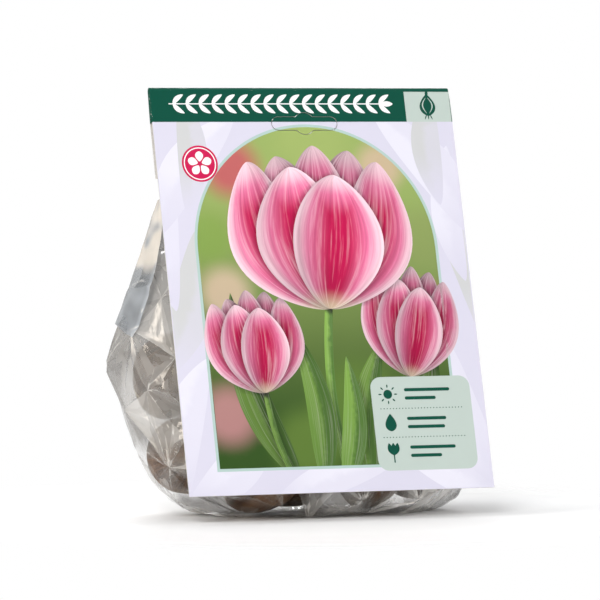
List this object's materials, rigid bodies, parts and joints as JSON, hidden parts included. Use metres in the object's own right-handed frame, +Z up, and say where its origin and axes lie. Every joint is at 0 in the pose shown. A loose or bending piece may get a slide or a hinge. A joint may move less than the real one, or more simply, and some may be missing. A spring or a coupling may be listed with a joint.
{
  "type": "tulip bulb retail pack",
  "caption": "Retail pack of tulip bulbs: a crumpled clear film bag of bulbs behind a folded, printed header card with a euro hang slot; it stands leaning back on its flattened base.",
  "frame": {"origin": "on the surface the pack stands on, under the middle of its bounding box", "axes": "+Z up, the pack's longest extent; the card's printed front faces -Y and leans back 17 degrees; +X runs to the right across the card"},
  "size_m": [0.1734, 0.0856, 0.192],
  "materials": {
    "card": "coated paperboard, offset printed on its face, plain grey-white inside",
    "film": "thin clear polypropylene film, crumpled, with sharp creases and bright glints",
    "tunic": "dry, papery brown bulb skin with fine lengthwise veins"
  },
  "bodies": {
    "root": {"header_card": "card", "slot_blank_front": "card", "slot_blank_back": "card", "film_bag": "film", "bulb_01": "tunic", "bulb_02": "tunic", "bulb_03": "tunic", "bulb_04": "tunic", "bulb_05": "tunic", "bulb_06": "tunic", "bulb_07": "tunic", "bulb_08": "tunic", "bulb_09": "tunic", "bulb_10": "tunic"}
  },
  "joints": []
}
